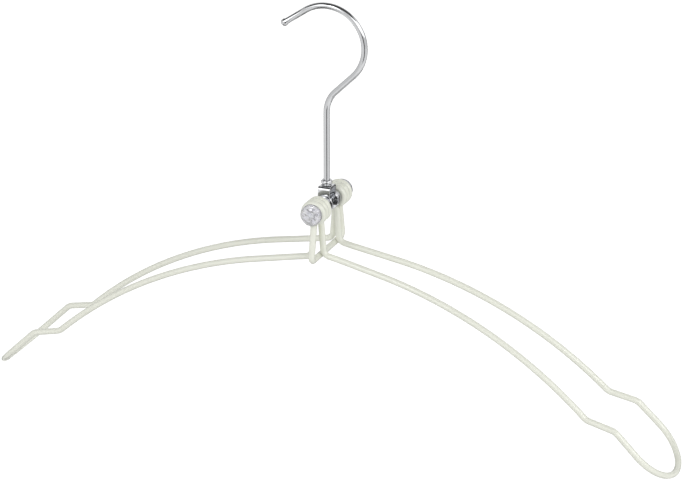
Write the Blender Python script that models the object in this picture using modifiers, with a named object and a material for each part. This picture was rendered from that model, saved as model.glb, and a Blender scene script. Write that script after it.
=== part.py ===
# Folding clothes hanger of plastic-coated steel wire with a chromed swivel hook.
# Two arms are each one long wire, bent back on itself at the shoulder tip and closed
# into two eyes that turn on a common axle. A stirrup of the same wire hangs from the
# axle and its crossbar stops both arms at their working angle; both fold upward.
# Units are metres. The origin is the inner crown of the hook, where the rail lies.
# +X runs along the right arm, +Y to the back and +Z up.

import math

import bmesh
import bpy
from mathutils import Matrix, Vector

# Clearance that neighbouring pieces keep
GAP = 0.0003

# Hook: chromed steel wire
HOOK_WIRE_RADIUS = 0.00175
CROWN_RADIUS = 0.0225
CROWN_HEIGHT = 0.0918
THROAT_LEAN = math.radians(45.9)
THROAT_BEND_RADIUS = 0.0172
TAIL_DROOP = math.radians(34)
TAIL_LENGTH = 0.0134
TIP_BALL_RADIUS = 0.0022
RIVET_RADIUS = 0.0026
RIVET_HEIGHT = 0.0016
RIVET_EDGE_RADIUS = 0.0008
RIVET_FACE_TAPER = 0.00003

# Collar above the bracket and washer below its top plate
COLLAR_RADIUS = 0.00305
COLLAR_FOOT_RADIUS = 0.0032
COLLAR_FOOT_HEIGHT = 0.0007
COLLAR_HEIGHT = 0.0026
WASHER_RADIUS = 0.0029
WASHER_THICKNESS = 0.0006

# Bracket: a chromed strap bent to an upside-down U over the axle
BRACKET_DEPTH = 0.0095
BRACKET_WIDTH = 0.0073
BRACKET_SHEET = 0.0012
BRACKET_RISE = 0.0103
BRACKET_BEND_RADIUS = 0.002
BRACKET_BOSS_RADIUS = 0.0055

# Axle, shouldered bushes, push nuts and end caps
AXLE_RADIUS = 0.002
AXLE_STICKOUT = 0.0015
AXLE_CHAMFER = 0.0004
BUSH_SHOULDER_RADIUS = 0.0053
BUSH_SHOULDER_LENGTH = 0.00415
BUSH_CHAMFER = 0.0004
NUT_RIM_WIDTH = 0.0011
NUT_SHEET = 0.0004
NUT_DISH = 0.0006
NUT_TEETH = 6
NUT_SLOT_WIDTH = 0.0006
CAP_RADIUS = 0.0061
CAP_WALL = 0.0007
CAP_EDGE_RADIUS = 0.0007

# Coated wire of the arms and the stirrup
ARM_WIRE_RADIUS = 0.0018
EYE_RADIUS = 0.00565
EYE_SWEEP = math.radians(302)
EYE_NECK_RADIUS = 0.004
WIRE_END_ROUNDING = 0.0005

# Arm outline, seen from the front, measured out from the axle
LEG_OFFSET = 0.0007
LEG_SPLAY = math.radians(4.4)
LEG_LENGTH = 0.0239
HEEL_RADIUS = 0.0045
RUN_SLOPE = math.radians(11)
RUN_END_X = 0.037
SPREAD_START_X = 0.012
SHOULDER_RADIUS = 0.258
NOTCH_X = 0.1605
NOTCH_SLOPE = math.radians(12)
NOTCH_LENGTH = 0.0133
NOTCH_BEND_RADIUS = 0.007
TIP_SLOPE = math.radians(43.6)
HALF_SPAN = 0.210
TIP_LOOP_RADIUS = 0.0225

# Stirrup: its legs lean outward from the eyes down to the crossbar
YOKE_SPLAY = math.radians(11)
YOKE_BEND_RADIUS = 0.0028

# Fineness of the curves; the ball tip ends in a small flat at its pole
EYE_STEP = math.radians(12)
BEND_STEP = math.radians(13)
CROWN_STEP = math.radians(8)
SHOULDER_STEP = math.radians(2.7)
CORNER_STEP = math.radians(30)
STRAP_BEND_STEP = math.radians(18)
BALL_STEPS = 8
BALL_POLE = math.radians(6)
LOOP_STEPS = 15
WIRE_ROUNDNESS = 4
TURNING_STEPS = 32
SHARP_ANGLE = math.radians(35)
WELD_DISTANCE = 0.00001

# Places that follow from the sizes above, measured from the axle
AXLE_Z = -(CROWN_HEIGHT + CROWN_RADIUS - HOOK_WIRE_RADIUS)
HALF_BRACKET = BRACKET_DEPTH / 2
LAYER_PITCH = 2 * ARM_WIRE_RADIUS + GAP
RIGHT_LAYER = HALF_BRACKET + GAP + BUSH_SHOULDER_LENGTH + GAP + ARM_WIRE_RADIUS
LEFT_LAYER = RIGHT_LAYER + LAYER_PITCH
YOKE_LAYER = LEFT_LAYER + LAYER_PITCH
STACK_END = YOKE_LAYER + ARM_WIRE_RADIUS
BUSH_RADIUS = EYE_RADIUS - ARM_WIRE_RADIUS - GAP
BORE_RADIUS = AXLE_RADIUS + GAP
HOOK_HOLE_RADIUS = HOOK_WIRE_RADIUS + GAP
PLATE_TOP = BRACKET_RISE
PLATE_UNDER = BRACKET_RISE - BRACKET_SHEET
WASHER_TOP = PLATE_UNDER - GAP
RIVET_TOP = WASHER_TOP - WASHER_THICKNESS - GAP
NUT_SEAT = STACK_END + GAP
AXLE_END = NUT_SEAT + NUT_SHEET + AXLE_STICKOUT
CAP_BORE_DEPTH = AXLE_END + GAP - NUT_SEAT
CAP_BORE_RADIUS = CAP_RADIUS - CAP_WALL
NUT_RADIUS = CAP_BORE_RADIUS - GAP
LOOP_START_X = HALF_SPAN - ARM_WIRE_RADIUS - TIP_LOOP_RADIUS * math.cos(TIP_SLOPE)

# Directions that turned pieces point along: the front is -Y, the back is +Y
FACING = {
    "front": Matrix.Rotation(math.radians(90), 4, "X"),
    "rear": Matrix.Rotation(math.radians(-90), 4, "X"),
}


def clear_scene():
    for old in list(bpy.data.objects):
        bpy.data.objects.remove(old, do_unlink=True)


def new_collection(name):
    group = bpy.data.collections.new(name)
    bpy.context.scene.collection.children.link(group)
    return group


def finish_material(name, colour, roughness, metallic=0.0):
    material = bpy.data.materials.new(name)
    material.use_nodes = True
    shader = material.node_tree.nodes["Principled BSDF"]
    shader.inputs["Base Color"].default_value = (*colour, 1.0)
    shader.inputs["Roughness"].default_value = roughness
    shader.inputs["Metallic"].default_value = metallic
    material.diffuse_color = (*colour, 1.0)
    return material


def arc(centre, radius, start, end, step):
    """Points on an arc in the X-Z plane, both ends included."""
    count = max(2, math.ceil(abs(end - start) / step))
    points = []
    for i in range(count + 1):
        angle = start + (end - start) * i / count
        points.append(centre + radius * Vector((math.cos(angle), math.sin(angle))))
    return points


class Wire:
    """A wire's centre line in the X-Z plane, drawn by going straight and turning."""

    def __init__(self, start, heading):
        self.points = [Vector(start)]
        self.heading = heading

    def straight(self, length):
        step = Vector((math.cos(self.heading), math.sin(self.heading)))
        self.points.append(self.points[-1] + length * step)

    def turn(self, radius, angle, step):
        """Turn left for a positive angle and right for a negative one."""
        side = math.copysign(math.radians(90), angle)
        inward = self.heading + side
        centre = self.points[-1] + radius * Vector((math.cos(inward), math.sin(inward)))
        start = inward + math.radians(180)
        self.points += arc(centre, radius, start, start + angle, step)[1:]
        self.heading += angle


def rounded_ends(points, radius):
    """A centre line with two more points near each end and a thickness factor for
    every point, so that the coating closes round over both cut ends."""
    inset = 1 - WIRE_END_ROUNDING / radius
    start = (points[1] - points[0]).normalized() * WIRE_END_ROUNDING
    end = (points[-2] - points[-1]).normalized() * WIRE_END_ROUNDING
    head = [points[0], points[0] + 0.3 * start, points[0] + start]
    tail = [points[-1] + end, points[-1] + 0.3 * end, points[-1]]
    closing = [inset, 1 - 0.3 * (1 - inset), 1.0]
    factors = closing + [1.0] * (len(points) - 2) + closing[::-1]
    return head + points[1:-1] + tail, factors


def wire_object(name, points, factors, wire_radius, material):
    curve = bpy.data.curves.new(name, "CURVE")
    curve.dimensions = "3D"
    curve.bevel_depth = wire_radius
    curve.bevel_resolution = WIRE_ROUNDNESS
    curve.use_fill_caps = True
    curve.render_resolution_u = 0
    spline = curve.splines.new("POLY")
    spline.points.add(len(points) - 1)
    for target, point, factor in zip(spline.points, points, factors):
        target.co = (*point, 1.0)
        target.radius = factor
    spline.use_smooth = True
    curve.materials.append(material)
    return place(name, curve, hanger)


def place(name, data, group, turn=Matrix.Identity(4)):
    """Put an object at the axle's centre, turned as asked."""
    thing = bpy.data.objects.new(name, data)
    group.objects.link(thing)
    thing.parent = axle_centre
    thing.rotation_euler = turn.to_euler()
    return thing


def evaluated_mesh(guide, name):
    """A guide object as its modifiers or bevel leave it; the guide is removed."""
    depsgraph = bpy.context.evaluated_depsgraph_get()
    mesh = bpy.data.meshes.new_from_object(guide.evaluated_get(depsgraph))
    bpy.data.objects.remove(guide, do_unlink=True)
    shape = bmesh.new()
    shape.from_mesh(mesh)
    bmesh.ops.remove_doubles(shape, verts=shape.verts, dist=WELD_DISTANCE)
    bmesh.ops.recalc_face_normals(shape, faces=shape.faces)
    if shape.calc_volume(signed=True) < 0:
        bmesh.ops.reverse_faces(shape, faces=shape.faces)
    shape.to_mesh(mesh)
    shape.free()
    mesh.shade_smooth()
    mesh.set_sharp_from_angle(angle=SHARP_ANGLE)
    mesh.name = name
    return mesh


def turned_object(name, profile, material, turn=Matrix.Identity(4), closed=True):
    """Revolve a profile of (radius, height) points, outer side running down."""
    outline = bpy.data.meshes.new(name + "_profile")
    edges = [(i, i + 1) for i in range(len(profile) - 1)]
    if closed:
        edges.append((len(profile) - 1, 0))
    outline.from_pydata([(radius, 0, height) for radius, height in profile], edges, [])
    guide = bpy.data.objects.new(name + "_profile", outline)
    cutters.objects.link(guide)
    screw = guide.modifiers.new("turning", "SCREW")
    screw.axis = "Z"
    screw.angle = math.radians(360)
    screw.steps = TURNING_STEPS
    screw.render_steps = TURNING_STEPS
    screw.use_merge_vertices = True
    screw.merge_threshold = WELD_DISTANCE
    mesh = evaluated_mesh(guide, name)
    mesh.materials.append(material)
    return place(name, mesh, hanger, turn)


def corner(centre, radius, start, end):
    """A rounded corner of a turned profile, from one angle to another in degrees."""
    points = arc(Vector(centre), radius, math.radians(start), math.radians(end), CORNER_STEP)
    return [tuple(point) for point in points]


def extruded_mesh(name, outline, half_thickness, turn):
    """A flat outline thickened to both sides, as a welded mesh turned into place."""
    curve = bpy.data.curves.new(name, "CURVE")
    curve.dimensions = "2D"
    curve.fill_mode = "BOTH"
    curve.extrude = half_thickness
    curve.render_resolution_u = 0
    spline = curve.splines.new("POLY")
    spline.points.add(len(outline) - 1)
    for target, point in zip(spline.points, outline):
        target.co = (point[0], point[1], 0.0, 1.0)
    spline.use_cyclic_u = True
    guide = bpy.data.objects.new(name, curve)
    cutters.objects.link(guide)
    mesh = evaluated_mesh(guide, name)
    mesh.transform(turn)
    return mesh


def cutter(name, mesh, turn=Matrix.Identity(4)):
    thing = place(name, mesh, cutters, turn)
    thing.hide_render = True
    thing.display_type = "WIRE"
    return thing


def round_cutter(name, radius, half_length, turn=Matrix.Identity(4)):
    mesh = bpy.data.meshes.new(name)
    shape = bmesh.new()
    bmesh.ops.create_cone(
        shape,
        cap_ends=True,
        segments=TURNING_STEPS,
        radius1=radius,
        radius2=radius,
        depth=2 * half_length,
    )
    shape.to_mesh(mesh)
    shape.free()
    return cutter(name, mesh, turn)


def boolean(thing, tool, operation):
    modifier = thing.modifiers.new(tool.name, "BOOLEAN")
    modifier.operation = operation
    modifier.solver = "EXACT"
    modifier.object = tool


# Hook: rivet head under the bracket, straight stem, leaning throat, round crown and
# drooping tail with a ball tip
def build_hook(material):
    corner_z = CROWN_HEIGHT - CROWN_RADIUS / math.sin(THROAT_LEAN)
    bend_reach = THROAT_BEND_RADIUS * math.tan(THROAT_LEAN / 2)
    throat = CROWN_RADIUS / math.tan(THROAT_LEAN) - bend_reach
    wire = Wire((0.0, RIVET_TOP), math.radians(90))
    wire.straight(corner_z - bend_reach - RIVET_TOP)
    wire.turn(THROAT_BEND_RADIUS, -THROAT_LEAN, BEND_STEP)
    wire.straight(throat)
    crown_turn = math.radians(90) + THROAT_LEAN + TAIL_DROOP
    wire.turn(CROWN_RADIUS, crown_turn, CROWN_STEP)
    wire.straight(TAIL_LENGTH)
    points = wire.points
    factors = [1.0] * len(points)

    # Radius and depth of the rivet head, from its crown up to the face that bears
    edge = RIVET_EDGE_RADIUS
    head = corner((RIVET_RADIUS - edge, RIVET_HEIGHT - edge), edge, 90, 0)
    head.append((RIVET_RADIUS, RIVET_FACE_TAPER))
    rivet = [Vector((0.0, RIVET_TOP - depth)) for _, depth in head]
    rivet_factors = [radius / HOOK_WIRE_RADIUS for radius, _ in head]

    # The wire enters the ball where both have the same radius
    enter = math.sqrt(TIP_BALL_RADIUS**2 - HOOK_WIRE_RADIUS**2)
    along = (points[-1] - points[-2]).normalized()
    ball_centre = points[-1] + along * enter
    start = math.acos(-enter / TIP_BALL_RADIUS)
    for i in range(1, BALL_STEPS + 1):
        angle = start + (BALL_POLE - start) * i / BALL_STEPS
        points.append(ball_centre + along * TIP_BALL_RADIUS * math.cos(angle))
        factors.append(TIP_BALL_RADIUS * math.sin(angle) / HOOK_WIRE_RADIUS)

    points = rivet + points
    factors = rivet_factors + factors
    line = [Vector((point.x, 0.0, point.y)) for point in points]
    return wire_object("hook", line, factors, HOOK_WIRE_RADIUS, material)


# Collar: a turned ring on the stem with a wider foot, and the washer that the rivet
# head bears on
def build_hook_fittings(chrome):
    foot = PLATE_TOP + GAP
    foot_top = foot + COLLAR_FOOT_HEIGHT
    top = foot + COLLAR_HEIGHT
    edge = COLLAR_RADIUS / 3
    neck = COLLAR_RADIUS - GAP
    collar = corner((COLLAR_RADIUS - edge, top - edge), edge, 90, 0)
    collar += [
        (COLLAR_RADIUS, foot_top + 2 * GAP),
        (neck, foot_top + GAP),
        (neck, foot_top),
        (COLLAR_FOOT_RADIUS, foot_top),
        (COLLAR_FOOT_RADIUS, foot),
        (HOOK_HOLE_RADIUS, foot),
        (HOOK_HOLE_RADIUS, top),
    ]
    turned_object("hook_collar", collar, chrome)
    washer = [
        (WASHER_RADIUS, WASHER_TOP),
        (WASHER_RADIUS, WASHER_TOP - WASHER_THICKNESS),
        (HOOK_HOLE_RADIUS, WASHER_TOP - WASHER_THICKNESS),
        (HOOK_HOLE_RADIUS, WASHER_TOP),
    ]
    turned_object("hook_washer", washer, chrome)


# Bracket: the strap's bent section, trimmed to its outline and drilled
def build_bracket(material):
    outer = BRACKET_BEND_RADIUS
    inner = BRACKET_BEND_RADIUS - BRACKET_SHEET
    bend_z = PLATE_TOP - outer
    bend_y = HALF_BRACKET - outer
    foot = -1.2 * BRACKET_BOSS_RADIUS
    quarter = math.radians(90)
    section = [Vector((HALF_BRACKET, foot))]
    section += arc(Vector((bend_y, bend_z)), outer, 0, quarter, STRAP_BEND_STEP)
    section += arc(Vector((-bend_y, bend_z)), outer, quarter, 2 * quarter, STRAP_BEND_STEP)
    section += [Vector((-HALF_BRACKET, foot)), Vector((-HALF_BRACKET + BRACKET_SHEET, foot))]
    section += arc(Vector((-bend_y, bend_z)), inner, 2 * quarter, quarter, STRAP_BEND_STEP)
    section += arc(Vector((bend_y, bend_z)), inner, quarter, 0, STRAP_BEND_STEP)
    section += [Vector((HALF_BRACKET - BRACKET_SHEET, foot))]
    along_x = Matrix(((0, 0, 1, 0), (1, 0, 0, 0), (0, 1, 0, 0), (0, 0, 0, 1)))
    strap = extruded_mesh("bracket", section, 1.5 * BRACKET_BOSS_RADIUS, along_x)
    strap.materials.clear()
    strap.materials.append(material)
    bracket = place("bracket", strap, hanger)

    half_width = BRACKET_WIDTH / 2
    meet = math.acos(half_width / BRACKET_BOSS_RADIUS)
    outline = [Vector((half_width, 1.2 * BRACKET_RISE)), Vector((-half_width, 1.2 * BRACKET_RISE))]
    boss_start = math.radians(180) - meet
    boss_end = math.radians(360) + meet
    outline += arc(Vector((0, 0)), BRACKET_BOSS_RADIUS, boss_start, boss_end, EYE_STEP)
    across = Matrix.Rotation(math.radians(90), 4, "X")
    trim = extruded_mesh("bracket_outline", outline, BRACKET_DEPTH, across)
    boolean(bracket, cutter("bracket_outline", trim), "INTERSECT")
    axle_hole = round_cutter("axle_hole", BORE_RADIUS, BRACKET_DEPTH, FACING["front"])
    boolean(bracket, axle_hole, "DIFFERENCE")
    stem_hole = round_cutter("stem_hole", HOOK_HOLE_RADIUS, 2 * BRACKET_RISE)
    stem_hole.location.z = 2 * BRACKET_RISE + PLATE_UNDER / 2
    boolean(bracket, stem_hole, "DIFFERENCE")


def build_axle(material):
    flat = AXLE_RADIUS - AXLE_CHAMFER
    profile = [
        (0.0, AXLE_END),
        (flat, AXLE_END),
        (AXLE_RADIUS, AXLE_END - AXLE_CHAMFER),
        (AXLE_RADIUS, -AXLE_END + AXLE_CHAMFER),
        (flat, -AXLE_END),
        (0.0, -AXLE_END),
    ]
    turned_object("axle", profile, material, FACING["front"], closed=False)


# Bush: a turned steel sleeve that fills the eyes; its shoulder keeps them off the bracket
def build_bush(side, material):
    foot = HALF_BRACKET + GAP
    shoulder_end = foot + BUSH_SHOULDER_LENGTH
    flat = BUSH_SHOULDER_RADIUS - BUSH_CHAMFER
    profile = [
        (BORE_RADIUS, STACK_END),
        (BUSH_RADIUS, STACK_END),
        (BUSH_RADIUS, shoulder_end),
        (flat, shoulder_end),
        (BUSH_SHOULDER_RADIUS, shoulder_end - BUSH_CHAMFER),
        (BUSH_SHOULDER_RADIUS, foot + BUSH_CHAMFER),
        (flat, foot),
        (BORE_RADIUS, foot),
    ]
    turned_object(side + "_bush", profile, material, FACING[side])


# Push nut: a dished spring-steel disc whose teeth grip the end of the axle
def build_push_nut(side, material):
    rim = NUT_RADIUS - NUT_RIM_WIDTH
    profile = [
        (BORE_RADIUS, NUT_SEAT + NUT_SHEET + NUT_DISH),
        (rim, NUT_SEAT + NUT_SHEET),
        (NUT_RADIUS, NUT_SEAT + NUT_SHEET),
        (NUT_RADIUS, NUT_SEAT),
        (rim, NUT_SEAT),
        (BORE_RADIUS, NUT_SEAT + NUT_DISH),
    ]
    nut = turned_object(side + "_push_nut", profile, material, FACING[side])
    slot_height = NUT_SHEET + NUT_DISH
    for i in range(NUT_TEETH // 2):
        name = f"{side}_nut_slot_{i + 1}"
        turn = FACING[side] @ Matrix.Rotation(math.radians(360) * i / NUT_TEETH, 4, "Z")
        slot = bpy.data.meshes.new(name)
        fill_box(slot, 2 * rim, NUT_SLOT_WIDTH, 4 * slot_height, NUT_SEAT + slot_height / 2)
        boolean(nut, cutter(name, slot, turn), "DIFFERENCE")


def fill_box(mesh, length, width, height, centre_z):
    shape = bmesh.new()
    bmesh.ops.create_cube(shape, size=1.0)
    bmesh.ops.scale(shape, vec=(length, width, height), verts=shape.verts)
    bmesh.ops.translate(shape, vec=(0, 0, centre_z), verts=shape.verts)
    shape.to_mesh(mesh)
    shape.free()


# Cap: a clear cup over the push nut and the end of the axle
def build_cap(side, material):
    floor = NUT_SEAT + CAP_BORE_DEPTH
    face = floor + CAP_WALL
    edge = CAP_EDGE_RADIUS
    profile = [(0.0, face)]
    profile += corner((CAP_RADIUS - edge, face - edge), edge, 90, 0)
    profile += [
        (CAP_RADIUS, NUT_SEAT),
        (CAP_BORE_RADIUS, NUT_SEAT),
        (CAP_BORE_RADIUS, floor),
        (0.0, floor),
    ]
    turned_object(side + "_cap", profile, material, FACING[side], closed=False)


def eye_and_leg(offset, splay):
    """From the cut end round the eye and down to the leg, leaning out by splay. The
    wire turns back at the neck, so that the leg lies near the middle of the eye."""
    neck_x = offset - EYE_NECK_RADIUS
    reach = EYE_RADIUS + EYE_NECK_RADIUS
    neck_z = -math.sqrt(reach**2 - neck_x**2)
    join = math.atan2(neck_z, neck_x)
    origin = Vector((0, 0))
    points = arc(origin, EYE_RADIUS, join - EYE_SWEEP, join, EYE_STEP)
    neck = Vector((neck_x, neck_z))
    points += arc(neck, EYE_NECK_RADIUS, join + math.radians(180), 0, BEND_STEP)[1:]
    lean = Matrix.Rotation(splay, 2)
    return [lean @ point for point in points]


def heel_centre():
    """Where the arm's lower bend is centred, out from the leg."""
    along = Vector((math.sin(LEG_SPLAY), -math.cos(LEG_SPLAY)))
    outward = Vector((math.cos(LEG_SPLAY), math.sin(LEG_SPLAY)))
    return outward * (LEG_OFFSET + HEEL_RADIUS) + along * LEG_LENGTH


def half_width(x, layer):
    """Distance of the arm's wires from the middle plane, which widens to the loop."""
    share = (x - SPREAD_START_X) / (LOOP_START_X - SPREAD_START_X)
    return layer + (TIP_LOOP_RADIUS - layer) * min(1.0, max(0.0, share))


# Arm: one coated wire from the front eye out to the shoulder tip and back to the rear
# eye, with a strap notch near the tip
def build_arm(name, side, layer, material):
    line = eye_and_leg(LEG_OFFSET, LEG_SPLAY)
    heel = heel_centre()
    heel_start = math.radians(180) + LEG_SPLAY
    heel_end = math.radians(270) - RUN_SLOPE
    heel_arc = arc(heel, HEEL_RADIUS, heel_start, heel_end, BEND_STEP)

    wire = Wire(heel_arc[-1], -RUN_SLOPE)
    wire.straight((SPREAD_START_X - heel_arc[-1].x) / math.cos(RUN_SLOPE))
    wire.straight((RUN_END_X - SPREAD_START_X) / math.cos(RUN_SLOPE))
    shoulder_slope = math.asin(math.sin(RUN_SLOPE) + (NOTCH_X - RUN_END_X) / SHOULDER_RADIUS)
    wire.turn(SHOULDER_RADIUS, RUN_SLOPE - shoulder_slope, SHOULDER_STEP)
    wire.turn(NOTCH_BEND_RADIUS, shoulder_slope - NOTCH_SLOPE, BEND_STEP)
    wire.straight(NOTCH_LENGTH)
    wire.turn(NOTCH_BEND_RADIUS, NOTCH_SLOPE - TIP_SLOPE, BEND_STEP)
    wire.straight((LOOP_START_X - wire.points[-1].x) / math.cos(TIP_SLOPE))

    line += heel_arc + wire.points[1:]
    front = [Vector((p.x, -half_width(p.x, layer), p.y)) for p in line]
    rear = [Vector((p.x, -p.y, p.z)) for p in reversed(front)]
    loop = []
    centre = line[-1]
    outward = Vector((math.cos(TIP_SLOPE), -math.sin(TIP_SLOPE)))
    for i in range(1, LOOP_STEPS):
        angle = math.radians(180) * i / LOOP_STEPS
        reach = centre + outward * TIP_LOOP_RADIUS * math.sin(angle)
        loop.append(Vector((reach.x, -TIP_LOOP_RADIUS * math.cos(angle), reach.y)))

    points = [Vector((side * p.x, p.y, p.z)) for p in front + loop + rear]
    points, factors = rounded_ends(points, ARM_WIRE_RADIUS)
    return wire_object(name, points, factors, ARM_WIRE_RADIUS, material)


# Stirrup: an eye on each side, two legs that lean outward and a crossbar, which lies in
# the crotch under the heels of both arms and takes their load
def build_yoke(material):
    heel = heel_centre()
    seat = HEEL_RADIUS + 2 * ARM_WIRE_RADIUS + GAP
    crossbar_z = heel.y - math.sqrt(seat**2 - heel.x**2)
    eye = eye_and_leg(0.0, 0.0)
    front = [Vector((p.x, -YOKE_LAYER, p.y)) for p in eye]

    # The leg's bends lie in the Y-Z plane: out at the eye, then in to the crossbar
    rise = math.sin(YOKE_SPLAY)
    bends_drop = EYE_NECK_RADIUS * rise + YOKE_BEND_RADIUS * (1 + rise)
    leg = Wire((-YOKE_LAYER, eye[-1].y), math.radians(-90))
    leg.turn(EYE_NECK_RADIUS, -YOKE_SPLAY, BEND_STEP)
    leg.straight((eye[-1].y - crossbar_z - bends_drop) / math.cos(YOKE_SPLAY))
    leg.turn(YOKE_BEND_RADIUS, math.radians(90) + YOKE_SPLAY, BEND_STEP)
    front += [Vector((0.0, p.x, p.y)) for p in leg.points[1:]]
    rear = [Vector((p.x, -p.y, p.z)) for p in reversed(front)]
    points, factors = rounded_ends(front + rear, ARM_WIRE_RADIUS)
    return wire_object("stop_yoke", points, factors, ARM_WIRE_RADIUS, material)


clear_scene()
hanger = new_collection("folding_hanger")
cutters = new_collection("cutters")
axle_centre = bpy.data.objects.new("axle_centre", None)
axle_centre.location.z = AXLE_Z
hanger.objects.link(axle_centre)

build_hook(finish_material("chromed_hook_wire", (0.72, 0.72, 0.74), 0.12, 1.0))
build_hook_fittings(finish_material("chromed_fittings", (0.66, 0.66, 0.68), 0.16, 1.0))
build_bracket(finish_material("chromed_strap", (0.62, 0.62, 0.64), 0.2, 1.0))
build_axle(finish_material("zinc_axle", (0.55, 0.55, 0.57), 0.3, 1.0))
for end in ("front", "rear"):
    build_bush(end, finish_material(end + "_steel_bush", (0.6, 0.6, 0.62), 0.25, 1.0))
    build_push_nut(end, finish_material(end + "_spring_steel", (0.4, 0.4, 0.43), 0.35, 1.0))
    build_cap(end, finish_material(end + "_clear_cap", (0.62, 0.61, 0.68), 0.2))
build_yoke(finish_material("coated_yoke_wire", (0.78, 0.79, 0.67), 0.35))
build_arm("left_arm", -1, LEFT_LAYER, finish_material("coated_left_wire", (0.78, 0.79, 0.67), 0.35))
build_arm("right_arm", 1, RIGHT_LAYER, finish_material("coated_right_wire", (0.78, 0.79, 0.67), 0.35))
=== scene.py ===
import math

import bmesh
import bpy
from mathutils import Matrix, Vector


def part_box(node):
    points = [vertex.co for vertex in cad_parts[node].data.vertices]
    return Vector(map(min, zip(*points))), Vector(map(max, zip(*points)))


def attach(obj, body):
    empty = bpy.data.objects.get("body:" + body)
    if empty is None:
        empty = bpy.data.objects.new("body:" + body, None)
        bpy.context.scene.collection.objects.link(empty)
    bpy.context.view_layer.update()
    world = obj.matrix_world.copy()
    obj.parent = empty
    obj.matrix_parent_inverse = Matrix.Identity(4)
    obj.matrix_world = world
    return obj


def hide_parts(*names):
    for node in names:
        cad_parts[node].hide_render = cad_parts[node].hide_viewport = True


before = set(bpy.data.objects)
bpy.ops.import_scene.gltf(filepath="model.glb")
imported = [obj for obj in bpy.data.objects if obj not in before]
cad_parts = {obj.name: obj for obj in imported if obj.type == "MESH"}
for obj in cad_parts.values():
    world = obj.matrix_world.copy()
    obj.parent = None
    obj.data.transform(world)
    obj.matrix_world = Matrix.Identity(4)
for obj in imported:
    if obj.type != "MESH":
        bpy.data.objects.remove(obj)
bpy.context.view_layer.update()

# Hook. Cold-drawn steel wire, 3.5 mm thick, bent round formers to a straight stem, a
# leaning throat and a round crown. Its tip is headed to a ball, its foot is riveted
# under the bracket so that it swivels, and it is polished and chrome plated.
low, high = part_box("axle")
AXLE = (low + high) / 2
ACROSS = Vector((0, 1, 0))
HOOK_WIRE_RADIUS = 0.00175
HOOK_WIRE_SIDES = 32
CROWN_RADIUS = 0.0225
CROWN_HEIGHT = 0.0918
THROAT_LEAN = math.radians(45.9)
THROAT_BEND_RADIUS = 0.0172
TAIL_DROOP = math.radians(34)
TAIL_LENGTH = 0.0134
HOOK_BEND_STEP = math.radians(3)
TIP_BALL_RADIUS = 0.0022
TIP_BALL_STEPS = 10
RIVET_RADIUS = 0.0026
RIVET_FOOT = 0.0063
RIVET_DOME_HEIGHT = 0.0008
RIVET_TOP = 0.0079
RIVET_DOME_STEPS = 6
WELD_DISTANCE = 0.000005
SHARP_EDGE = math.radians(38)


def new_part(made, kind):
    """What an operator made, of one kind: vertices or edges."""
    return [part for part in made if isinstance(part, kind)]


class BentWire:
    """A wire that is drawn on from its last section, straight or round a former. Each
    vertex keeps its place on the wire's skin: across, across and along, in metres."""

    def __init__(self, radius, sides, start, heading):
        self.shape = bmesh.new()
        self.skin = self.shape.verts.layers.float_vector.new("skin")
        self.tip = Vector(start)
        self.heading = Vector(heading).normalized()
        self.radius = radius
        self.length = 0.0
        bmesh.ops.create_circle(self.shape, cap_ends=False, segments=sides, radius=radius)
        for vert in self.shape.verts:
            vert[self.skin] = vert.co
        face_on = self.heading.to_track_quat("Z", "Y").to_matrix().to_4x4()
        lay = Matrix.Translation(self.tip) @ face_on
        bmesh.ops.transform(self.shape, matrix=lay, verts=self.shape.verts)
        self.ring = self.shape.edges[:]

    def mark(self, verts):
        for vert in verts:
            vert[self.skin] = (*vert[self.skin].xy, self.length)

    def straight(self, length, radius=None):
        """Draw on by a length, and to another thickness where one is given."""
        made = bmesh.ops.extrude_edge_only(self.shape, edges=self.ring)["geom"]
        verts = new_part(made, bmesh.types.BMVert)
        fresh = set(verts)
        edges = new_part(made, bmesh.types.BMEdge)
        self.ring = [edge for edge in edges if fresh.issuperset(edge.verts)]
        move = self.heading * length
        bmesh.ops.translate(self.shape, vec=move, verts=verts)
        self.tip = self.tip + move
        self.length += length
        if radius is not None:
            factor = radius / self.radius
            about = Matrix.Translation(-self.tip)
            bmesh.ops.scale(self.shape, vec=[factor] * 3, space=about, verts=verts)
            self.radius = radius
        self.mark(verts)

    def bend(self, former, angle, about, step):
        """Bend round a former that lies beside the wire, about an axis."""
        centre = self.tip + former * about.cross(self.heading)
        count = max(1, math.ceil(angle / step))
        turn = Matrix.Rotation(angle / count, 3, about)
        for _ in range(count):
            made = bmesh.ops.spin(
                self.shape,
                geom=self.ring,
                cent=centre,
                axis=about,
                angle=angle / count,
                steps=1,
                use_merge=False,
                use_normal_flip=False,
                use_duplicate=False,
            )["geom_last"]
            self.ring = new_part(made, bmesh.types.BMEdge)
            self.tip = centre + turn @ (self.tip - centre)
            self.heading = turn @ self.heading
            self.length += former * angle / count
            self.mark({vert for edge in self.ring for vert in edge.verts})

    def close_ends(self):
        rims = [edge for edge in self.shape.edges if edge.is_boundary]
        return bmesh.ops.holes_fill(self.shape, edges=rims, sides=0)["faces"]


def make_piece(name, shape, *finishes):
    """Put a finished shape in the scene, smooth all over."""
    mesh = bpy.data.meshes.new(name)
    shape.to_mesh(mesh)
    shape.free()
    mesh.shade_smooth()
    for finish in finishes:
        mesh.materials.append(finish)
    piece = bpy.data.objects.new(name, mesh)
    bpy.context.scene.collection.objects.link(piece)
    return piece


def make_solid_piece(name, shape, *finishes):
    """Merge doubles, turn the faces outward and make the piece, smooth but for its edges."""
    bmesh.ops.remove_doubles(shape, verts=shape.verts, dist=WELD_DISTANCE)
    bmesh.ops.recalc_face_normals(shape, faces=shape.faces)
    if shape.calc_volume(signed=True) < 0:
        bmesh.ops.reverse_faces(shape, faces=shape.faces)
    piece = make_piece(name, shape, *finishes)
    piece.data.set_sharp_from_angle(angle=SHARP_EDGE)
    return piece


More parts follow.
